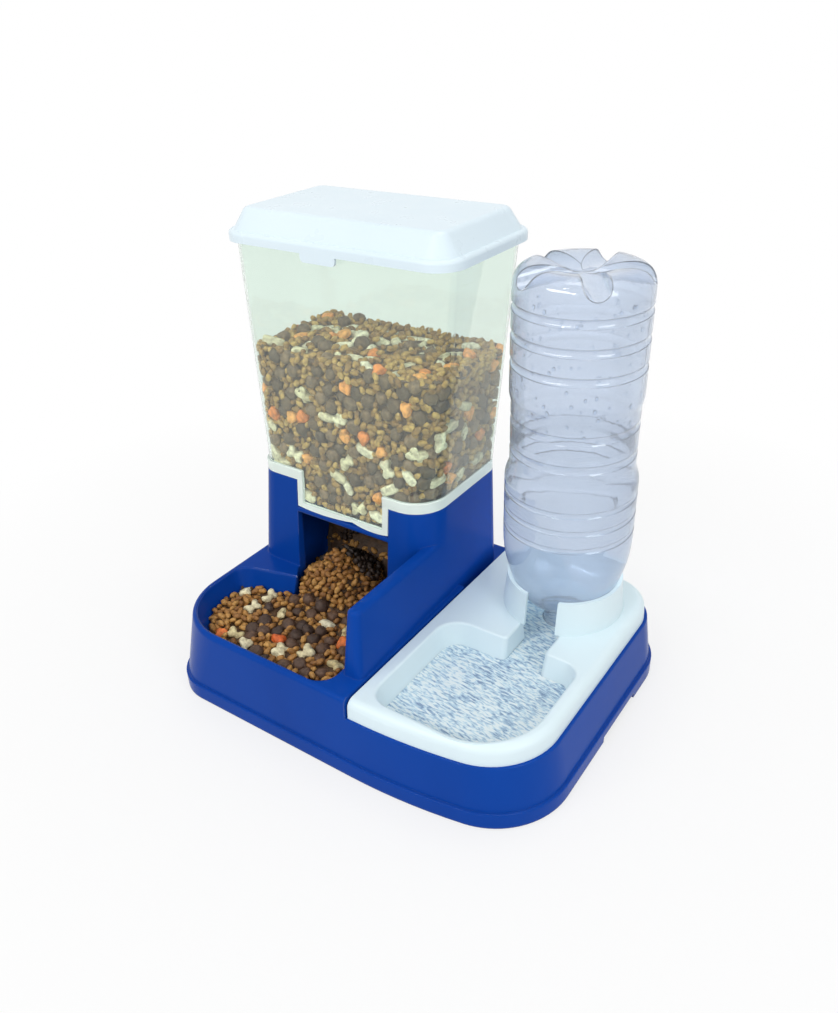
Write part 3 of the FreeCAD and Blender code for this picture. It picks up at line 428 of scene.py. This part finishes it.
def food_shapes(count, subdivisions, size, reach, lumps, lump_scale, flatness, seed):
    """Differently lumped copies of one kind of food piece, each of the given half sizes."""
    corners, faces = unit_ball(subdivisions)
    shapes = []
    for i in range(count):
        drift = Vector((seed + i * 3.7, i * 1.9, seed * 0.5))
        points = []
        for corner in corners:
            lump = 1.0 + lumps * noise.noise(Vector(corner) * lump_scale + drift)
            spread = reach(math.atan2(corner[1], corner[0]))
            flat = math.sqrt(corner[0] ** 2 + corner[1] ** 2)
            fuller = flat ** flatness / max(flat, 1e-6)
            points.append((corner[0] * spread * fuller * lump * size[0],
                           corner[1] * spread * fuller * lump * size[1],
                           corner[2] * lump * size[2]))
        shapes.append(np.array(points))
    return shapes, faces


# Kinds of food, large ones first: half sizes in mm, outline, subdivisions of its ball, lumps, fullness of
# its edge (lower is fuller), spread of its turn, and how many are tried along the hopper's walls, over its
# top and in the bowl
KINDS = {
    "stick": {"size": (7.6, 3.3, 3.0), "reach": stick_reach, "detail": 3, "lumps": 0.1, "lump_scale": 1.5,
              "flatness": 0.6, "spin": 0.5, "walls": 60, "top": 26, "bowl": 3},
    "bone": {"size": (6.9, 6.9, 3.0), "reach": bone_reach, "detail": 3, "lumps": 0.1, "lump_scale": 1.5,
             "flatness": 0.6, "spin": 1.6, "walls": 56, "top": 50, "bowl": 34},
    "chunk": {"size": (5.6, 5.2, 3.0), "reach": chunk_reach, "detail": 3, "lumps": 0.14, "lump_scale": 2.0,
              "flatness": 0.55, "spin": 1.6, "walls": 90, "top": 64, "bowl": 9},
    "disc": {"size": (5.3, 5.1, 4.1), "reach": round_reach, "detail": 3, "lumps": 0.16, "lump_scale": 2.2,
             "flatness": 0.7, "spin": 1.6, "walls": 3000, "top": 300, "bowl": 900},
    "small": {"size": (3.4, 2.1, 1.9), "reach": round_reach, "detail": 2, "lumps": 0.3, "lump_scale": 1.4,
              "flatness": 0.9, "spin": 1.6, "walls": 14000, "top": 4200, "bowl": 9000},
}
SHAPES_PER_KIND = 10
PLACED_PER_MESH = 2000

# Share of the sum of their radii that two balls keep apart, and the side of a cell
PACKING = 0.86
CELL = 12 * MM


class Heap:
    """Balls that stand for the food pieces placed so far, found by the cell they lie in."""

    def __init__(self):
        self.cells = {}
        self.placed = {kind: [] for kind in KINDS}

    def near(self, start, direction, limit):
        """Balls in the cells around a line."""
        low = np.floor((np.minimum(start, start + direction * limit)) / CELL).astype(int) - 1
        high = np.floor((np.maximum(start, start + direction * limit)) / CELL).astype(int) + 1
        for x in range(low[0], high[0] + 1):
            for y in range(low[1], high[1] + 1):
                for z in range(low[2], high[2] + 1):
                    yield from self.cells.get((x, y, z), ())

    def first_free(self, start, direction, radius, limit):
        """How far along a line a ball of that radius first fits, or None."""
        spans = []
        for centre, other in self.near(start, direction, limit):
            gap = centre - start
            along = float(gap @ direction)
            aside = float(gap @ gap) - along * along
            reach = ((radius + other) * PACKING) ** 2
            if aside < reach:
                half = math.sqrt(reach - aside)
                spans.append((along - half, along + half))
        free = 0.0
        for low, high in sorted(spans):
            if low < free < high or (free == 0.0 and low <= 0.0 < high):
                free = high
        return free if free <= limit else None

    def drop(self, kind, start, direction, limit, facing):
        """Put a piece of that kind as early as it fits along a line, with its flat side to the facing side."""
        ball_depth = 0.7
        size = [value * MM for value in KINDS[kind]["size"]]
        radius, shift = (size[0] * size[1] * size[2]) ** (1 / 3), 0.0
        if kind != "small":
            radius, shift = (size[0] + size[1]) / 2, ball_depth * size[2]
        far = self.first_free(start + facing * shift, direction, radius, limit)
        if far is None:
            return
        centre = start + direction * far
        ball = centre + facing * shift
        cell = tuple(np.floor(ball / CELL).astype(int))
        self.cells.setdefault(cell, []).append((ball, radius))
        self.placed[kind].append((centre, facing))


def turned(rng, facing, tilt, spin):
    """Random turn that lays a piece's flat side roughly across the facing direction."""
    wobble = Vector((rng.gauss(0, tilt), rng.gauss(0, tilt), rng.gauss(0, tilt)))
    normal = (Vector(facing) + wobble).normalized()
    twist = Matrix.Rotation(rng.gauss(0, spin), 3, "Z")
    return np.array(normal.to_track_quat("Z", "Y").to_matrix() @ twist)


def food_pieces(prefix, heap, materials, tilt, seed, walls=None):
    """Meshes for each kind of food in a heap, none with too many pieces of food."""
    smallest, largest = 0.88, 1.12
    rng = random.Random(seed)
    for kind, facts in KINDS.items():
        shapes, faces = food_shapes(SHAPES_PER_KIND, facts["detail"], facts["size"], facts["reach"],
                                    facts["lumps"], facts["lump_scale"], facts["flatness"], seed)
        for first in range(0, len(heap.placed[kind]), PLACED_PER_MESH):
            corners, polygons = [], []
            for i, (centre, facing) in enumerate(heap.placed[kind][first:first + PLACED_PER_MESH]):
                shape = shapes[rng.randrange(SHAPES_PER_KIND)] * (MM * rng.uniform(smallest, largest))
                polygons.append(faces + i * len(shape))
                corners.append(shape @ turned(rng, facing, tilt, facts["spin"]).T + centre)
            points = np.concatenate(corners).tolist()
            if walls:
                points = kept_inside(points, walls)
            name = f"{prefix}_{kind}_{first // PLACED_PER_MESH + 1}"
            make_object(name, points, np.concatenate(polygons).tolist(), materials[kind], BODY)


def kept_inside(points, walls):
    """Points, with those nearer to a wall than a small gap moved back off it."""
    gap = 0.35 * MM
    kept = []
    for point in points:
        place = Vector(point)
        near, normal, _, _ = walls.find_nearest(place)
        miss = (place - near).dot(normal)
        kept.append(place + normal * (gap - miss) if miss < gap else place)
    return kept


def inner_walls(node, middle):
    """Mesh of a node's upright faces that look at an upright line through its middle."""
    mesh = node_mesh(node)
    bmesh.ops.triangulate(mesh, faces=mesh.faces)
    others = []
    for face in mesh.faces:
        to_middle = Vector((middle[0], middle[1], 0)) - face.calc_center_median()
        if abs(face.normal.z) > 0.5 or to_middle.xy.dot(face.normal.xy) <= 0:
            others.append(face)
    bmesh.ops.delete(mesh, geom=others, context="FACES")
    return mesh


def wall_samples(rng, mesh):
    """Endless random points on a mesh's faces, each with its normal."""
    triangles = list(mesh.faces)
    areas = np.cumsum([face.calc_area() for face in triangles])
    while True:
        face = triangles[int(np.searchsorted(areas, rng.random() * areas[-1]))]
        a, b, c = (vertex.co for vertex in face.verts)
        u, v = rng.random(), rng.random()
        if u + v > 1:
            u, v = 1 - u, 1 - v
        yield np.array(a + (b - a) * u + (c - a) * v), np.array(face.normal)


def likes_place(rng, kind, point, patch_size, bias):
    """Whether a piece may lie at a point: brown discs lie in patches, and other kinds anywhere."""
    patch_edge = 0.2
    return kind != "disc" or noise.noise(Vector(point) / patch_size) + bias > rng.uniform(-patch_edge, patch_edge)


def fill_hopper(materials):
    """Food against the walls of the hopper and over its top."""
    rng = random.Random(11)
    heap = Heap()
    low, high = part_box("hopper_kibble")
    mesh = inner_walls("hopper", (low + high) / 2)
    walls = BVHTree.FromBMesh(mesh)
    large_depth, wall_depth, patch_size = 2.5 * MM, 8 * MM, 30 * MM
    wall_discs, top_discs = 0.24, 0.0
    samples = wall_samples(rng, mesh)
    for kind, facts in KINDS.items():
        half = facts["size"][2] * MM
        depth = wall_depth if kind == "small" else large_depth
        for _ in range(facts["walls"]):
            point, inward = next(samples)
            x, y, z = point
            behind_apron = apron_left < x < apron_right and apron_low < z and y < hopper_front
            if z > food_level - facts["size"][0] * MM or (z < bead_top and not behind_apron):
                continue
            if likes_place(rng, kind, point, patch_size, wall_discs):
                heap.drop(kind, point + inward * half, inward, depth, -inward)
    mesh.free()
    up = np.array((0.0, 0.0, 1.0))
    top_depth, top_skin, core_inset = 9 * MM, 2 * MM, 5 * MM
    for kind, facts in KINDS.items():
        margin = facts["size"][0] * MM
        for _ in range(facts["top"]):
            start = np.array((rng.uniform(low.x + margin, high.x - margin),
                              rng.uniform(low.y + margin, high.y - margin), food_level - top_depth))
            if kind != "small":
                start[2] = food_level - top_skin - rng.uniform(1.0, 2.0) * facts["size"][2] * MM
            if likes_place(rng, kind, start, patch_size, top_discs):
                heap.drop(kind, start, up, food_level - top_skin - start[2], up)
    grown_copy("hopper_food_core", "hopper_kibble", -core_inset, materials["crumbs"], walls, bead_top)
    food_pieces("hopper_food", heap, materials, 0.3, 5, walls)


def fill_mouth(material):
    """Food painted dark as painted shade for the tower's depth; it stands in the tower and is seen through its
    mouth.
    """
    rng = random.Random(17)
    heap = Heap()
    mesh = node_mesh("hopper_kibble")
    mesh.from_mesh(nodes["bowl_kibble"].data)
    solid = BVHTree.FromBMesh(mesh)
    mesh.free()
    half = KINDS["small"]["size"][2] * MM
    back, front = Vector((0, 1, 0)), np.array((0.0, -1.0, 0.0))
    tries = 4000
    for _ in range(tries):
        x = rng.uniform(mouth_left, mouth_right)
        hit = solid.ray_cast(Vector((x, mouth_front, rng.uniform(mouth_low, apron_low))), back)[0]
        if hit is not None:
            heap.drop("small", np.array(hit) - front * 3 * half, front, 3 * half, front)
    food_pieces("mouth_food", heap, {"small": material}, 0.6, 13)


def fill_bowl(materials):
    """Food in the bowl and on the slope that runs out of the tower."""
    rng = random.Random(23)
    heap = Heap()
    low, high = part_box("bowl_kibble")
    mesh = node_mesh("bowl_kibble")
    solid = BVHTree.FromBMesh(mesh)
    mesh.free()
    down, up = Vector((0, 0, -1)), np.array((0.0, 0.0, 1.0))
    lookout, skin_depth, skin, core_inset = 200 * MM, 7 * MM, 1.5 * MM, 4 * MM
    edge_wave, edge_scale = 20 * MM, 12 * MM
    for kind, facts in KINDS.items():
        margin = facts["size"][0] * MM
        for _ in range(facts["bowl"]):
            x, y = rng.uniform(low.x, high.x), rng.uniform(low.y, tower_inside)
            if kind != "small" and y > large_food_back:
                continue
            if kind == "disc" and x < disc_area_left + edge_wave * noise.noise(Vector((x, y, 0)) / edge_scale):
                continue
            heights = []
            for step_x, step_y in ((0, 0), (margin, 0), (-margin, 0), (0, margin), (0, -margin)):
                hit = solid.ray_cast(Vector((x + step_x, y + step_y, lookout)), down)[0]
                if hit is not None:
                    heights.append(hit.z)
            if len(heights) < 5:
                continue
            half = facts["size"][2] * MM
            start = np.array((x, y, heights[0] - (skin_depth if kind == "small" else half)))
            heap.drop(kind, start, up, heights[0] + skin - half - start[2], up)
    grown_copy("bowl_food_core", "bowl_kibble", -core_inset, materials["crumbs"])
    food_pieces("bowl_food", heap, materials, 0.5, 9)


def wet_bottle(material):
    """Drops of water on the inside of the bottle, above the water."""
    drop_count, water_gap, flatness, wall_gap = 170, 12 * MM, 0.6, 0.1 * MM
    rng = random.Random(31)
    mesh = inner_walls("bottle", bottle_axis)
    samples = wall_samples(rng, mesh)
    shape, faces = unit_ball(2)
    corners, polygons = [], []
    while len(corners) < drop_count:
        point, inward = next(samples)
        if not bottle_water_level + water_gap < point[2] < bottle_heel:
            continue
        radius = rng.uniform(0.5, 1.3) * MM
        sag = rng.uniform(1.0, 1.5)
        turn = np.array(Vector(inward).to_track_quat("Z", "Y").to_matrix())
        polygons.append(faces + len(corners) * len(shape))
        drop = shape * np.array((radius, radius * sag, radius * flatness))
        corners.append(drop @ turn.T + point + inward * wall_gap)
    mesh.free()
    make_object("bottle_drops", np.concatenate(corners).tolist(), np.concatenate(polygons).tolist(), material,
                BODY)


def hopper_lit_food_materials():
    """Finish of each kind of food that is seen through the hopper's wall: copies of the bowl's food colours
    painted lighter and yellower, as painted light for the light that reaches the food through the wall.
    """
    return {
        "small": food("lit_golden_food", srgb(208, 171, 93), srgb(179, 140, 70), srgb(138, 101, 47), 420.0,
                      0.0006),
        "disc": food("lit_brown_food", srgb(138, 112, 80), srgb(112, 90, 62), srgb(88, 70, 48), 380.0, 0.0006),
        "bone": food("lit_cream_food", srgb(252, 246, 214), srgb(244, 236, 198), srgb(232, 222, 180), 300.0,
                     0.0005),
        "stick": food("lit_ivory_food", srgb(250, 244, 214), srgb(238, 230, 196), srgb(222, 212, 174), 300.0, 0.0005),
        "chunk": food("lit_orange_food", srgb(255, 184, 96), srgb(250, 164, 80), srgb(240, 140, 62), 320.0,
                      0.0006),
        "crumbs": food("dark_crumbs", srgb(104, 80, 52), srgb(94, 70, 46), srgb(80, 58, 40), 260.0, 0.001)}


def bowl_food_materials():
    """Finish of each kind of food and of the crumbs under it."""
    return {
        "small": food("golden_food", srgb(206, 156, 84), srgb(176, 124, 62), srgb(138, 92, 44), 420.0, 0.0006),
        "disc": food("brown_food", srgb(106, 78, 58), srgb(86, 62, 46), srgb(64, 46, 36), 380.0, 0.0006),
        "bone": food("cream_food", srgb(250, 240, 200), srgb(240, 226, 178), srgb(224, 206, 150), 300.0, 0.0005),
        "stick": food("pale_food", srgb(240, 232, 200), srgb(226, 214, 176), srgb(206, 192, 150), 300.0, 0.0005),
        "chunk": food("orange_food", srgb(246, 136, 66), srgb(236, 116, 52), srgb(214, 96, 42), 320.0, 0.0006),
        "crumbs": food("food_crumbs", srgb(92, 66, 40), srgb(84, 60, 38), srgb(72, 50, 32), 260.0, 0.001)}


def ripple_tray_water(material):
    """Water in the basin with a rippled top."""
    mesh = node_mesh("tray_water")
    low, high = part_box("tray_water")
    spacing, wave, wave_scale, skin = 2.5 * MM, 0.45 * MM, 160.0, 0.1 * MM
    for axis, start, end in ((0, low.x, high.x), (1, low.y, high.y)):
        steps = int((end - start) / spacing)
        for i in range(1, steps):
            top = [face for face in mesh.faces if face.calc_center_median().z > high.z - skin]
            edges = {edge for face in top for edge in face.edges}
            cut = [0.0, 0.0, 0.0]
            cut[axis] = start + (end - start) * i / steps
            normal = [0.0, 0.0, 0.0]
            normal[axis] = 1.0
            bmesh.ops.bisect_plane(mesh, geom=top + list(edges), plane_co=cut, plane_no=normal)
    for vertex in mesh.verts:
        if vertex.co.z > high.z - 0.01 * MM and not any(abs(face.normal.z) < 0.9 for face in vertex.link_faces):
            place = Vector((vertex.co.x * 0.5, vertex.co.y, 0.0)) * wave_scale
            vertex.co.z += wave * (noise.noise(place) - 0.6)
    bmesh.ops.triangulate(mesh, faces=[face for face in mesh.faces if len(face.verts) > 4])
    mesh.verts.index_update()
    vertices = [vertex.co.copy() for vertex in mesh.verts]
    faces = [[vertex.index for vertex in face.verts] for face in mesh.faces]
    mesh.free()
    piece = make_object("rippled_water", vertices, faces, material, BODY)
    piece.data.set_sharp_from_angle(angle=math.radians(50))
    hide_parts("tray_water")


def finish_nodes(finishes):
    """Give the frame's own nodes their materials."""
    for node, material in finishes.items():
        mesh = nodes[node].data
        mesh.materials.clear()
        mesh.materials.append(material)


# Light, floor and camera

def area_light(name, place, target, width, height, power, colour):
    """Soft oblong lamp aimed at a point."""
    data = bpy.data.lights.new(name, "AREA")
    data.shape = "RECTANGLE"
    data.size = width
    data.size_y = height
    data.energy = power
    data.color = colour
    lamp = bpy.data.objects.new(name, data)
    lamp.location = place
    lamp.rotation_euler = (Vector(target) - Vector(place)).to_track_quat("-Z", "Y").to_euler()
    bpy.context.scene.collection.objects.link(lamp)


def background_rays(tree):
    """One for rays from the camera, off gloss or through clear pieces, else zero."""
    path = add(tree, "ShaderNodeLightPath")
    seen = calculate(tree, "MAXIMUM", path.outputs["Is Camera Ray"], path.outputs["Is Glossy Ray"])
    return calculate(tree, "MAXIMUM", seen, path.outputs["Is Transmission Ray"])


def make_world():
    """White backdrop with a plain soft light."""
    soft_level, backdrop_level = 0.54, 1.0
    world = bpy.data.worlds.new("studio")
    world.use_nodes = True
    bpy.context.scene.world = world
    tree = world.node_tree
    tree.nodes.clear()
    soft = add(tree, "ShaderNodeBackground", Color=WHITE, Strength=soft_level)
    white = add(tree, "ShaderNodeBackground", Color=WHITE, Strength=backdrop_level)
    mix = add(tree, "ShaderNodeMixShader")
    output = add(tree, "ShaderNodeOutputWorld")
    tree.links.new(background_rays(tree), mix.inputs["Fac"])
    tree.links.new(soft.outputs["Background"], mix.inputs[1])
    tree.links.new(white.outputs["Background"], mix.inputs[2])
    tree.links.new(mix.outputs["Shader"], output.inputs["Surface"])


def make_floor():
    """White floor that keeps the shadow and glows more with distance from the object."""
    floor_size, near, far, near_glow, far_glow = 12.0, 0.16, 0.55, 0.72, 1.0
    bpy.ops.mesh.primitive_plane_add(size=floor_size, location=(0, 0, 0))
    floor = bpy.context.object
    floor.name = "floor"
    material, tree, shader = new_material("floor_white")
    shader.inputs["Base Color"].default_value = (0.86, 0.86, 0.86, 1.0)
    shader.inputs["Roughness"].default_value = 0.9
    shader.inputs["Specular IOR Level"].default_value = 0.0
    glow = add(tree, "ShaderNodeEmission", Color=WHITE, Strength=1.0)
    mix = add(tree, "ShaderNodeMixShader")
    place = add(tree, "ShaderNodeTexCoord")
    distance = add(tree, "ShaderNodeVectorMath", {"operation": "LENGTH"})
    tree.links.new(place.outputs["Object"], distance.inputs[0])
    whiter = add(tree, "ShaderNodeMapRange")
    whiter.inputs["From Min"].default_value = near
    whiter.inputs["From Max"].default_value = far
    whiter.inputs["To Min"].default_value = near_glow
    whiter.inputs["To Max"].default_value = far_glow
    tree.links.new(distance.outputs["Value"], whiter.inputs["Value"])
    share = calculate(tree, "MULTIPLY", background_rays(tree), whiter.outputs["Result"])
    tree.links.new(share, mix.inputs["Fac"])
    tree.links.new(shader.outputs["BSDF"], mix.inputs[1])
    tree.links.new(glow.outputs["Emission"], mix.inputs[2])
    tree.links.new(mix.outputs["Shader"], tree.nodes["Material Output"].inputs["Surface"])
    floor.data.materials.append(material)


def make_camera():
    """Camera at the photograph's viewing angle."""
    turn, tilt, roll = (math.radians(angle) for angle in (camera_turn, camera_tilt, camera_roll))
    ahead = Vector((-math.sin(turn) * math.cos(tilt), math.cos(turn) * math.cos(tilt), -math.sin(tilt)))
    right = Vector((math.cos(turn), math.sin(turn), 0.0))
    down = ahead.cross(right)
    rolled_right = right * math.cos(roll) - down * math.sin(roll)
    rolled_down = right * math.sin(roll) + down * math.cos(roll)
    data = bpy.data.cameras.new("camera")
    data.lens = camera_lens
    data.sensor_width = sensor_width
    data.sensor_fit = "AUTO"
    camera = bpy.data.objects.new("camera", data)
    turned_matrix = Matrix((rolled_right, -rolled_down, -ahead)).transposed()
    camera.matrix_world = Matrix.Translation(camera_place) @ turned_matrix.to_4x4()
    bpy.context.scene.collection.objects.link(camera)
    bpy.context.scene.camera = camera


def make_lights():
    """Soft lamps at the right, above and wide at the front left, and a small one for crisp highlights."""
    middle = (0.0, 0.0, 0.15)
    area_light("right", (1.5, -0.5, 1.0), middle, 0.7, 0.7, 7.5, (0.94, 0.98, 1.0))
    area_light("above", (0.1, 0.35, 1.9), middle, 0.9, 0.9, 5.5, (1.0, 1.0, 1.0))
    area_light("front_left", (-0.35, -1.6, 1.4), middle, 1.6, 0.3, 14.0, (1.0, 1.0, 1.0))
    area_light("glint", (-0.2, -0.9, 1.6), middle, 0.16, 0.16, 1.6, (1.0, 1.0, 1.0))


make_camera()
make_world()
make_floor()
make_lights()
bpy.context.scene.view_settings.view_transform = "Standard"

blue = moulded_plastic("blue_plastic", srgb(12, 69, 162), srgb(10, 62, 150), 0.22, 0.05, 0.0, 2.0 * MM)
white = moulded_plastic("white_plastic", srgb(224, 240, 245), srgb(219, 236, 242), 0.34, 0.35, 0.05, 0.0)
lid_white = thin_white_plastic("lid_plastic", srgb(224, 238, 245), srgb(219, 234, 242), 0.3, 0.35, 0.08, 0.62)
milky = hopper_plastic("hopper_plastic", srgb(238, 247, 241), 0.965, 0.01)
clear = clear_plastic("bottle_plastic", srgb(226, 233, 243), 0.14)
water = still_water("bottle_water_clear", srgb(251, 253, 255), 1.12)
drop_water = still_water("drop_water", srgb(236, 242, 250), 1.33)
black = rubber("foot_rubber")
finishes = {"base": blue, "water_tray": white, "lid": lid_white, "hopper": milky, "bottle": clear}
for foot in ("front_left", "back_left", "back_right", "front_right"):
    finishes["foot_" + foot] = black
finish_nodes(finishes)

grown_copy("bottle_water_body", "bottle_water", 0.4 * MM, water)
wet_bottle(drop_water)
ripple_tray_water(rippled_water("tray_water_ripples_and_glints"))
fill_hopper(hopper_lit_food_materials())
fill_bowl(bowl_food_materials())
# The mouth's food is painted dark brown: painted shade for the depth of the tower.
fill_mouth(food("shade_darkened_food", srgb(66, 49, 37), srgb(54, 41, 33), srgb(42, 33, 28), 420.0, 0.0006))
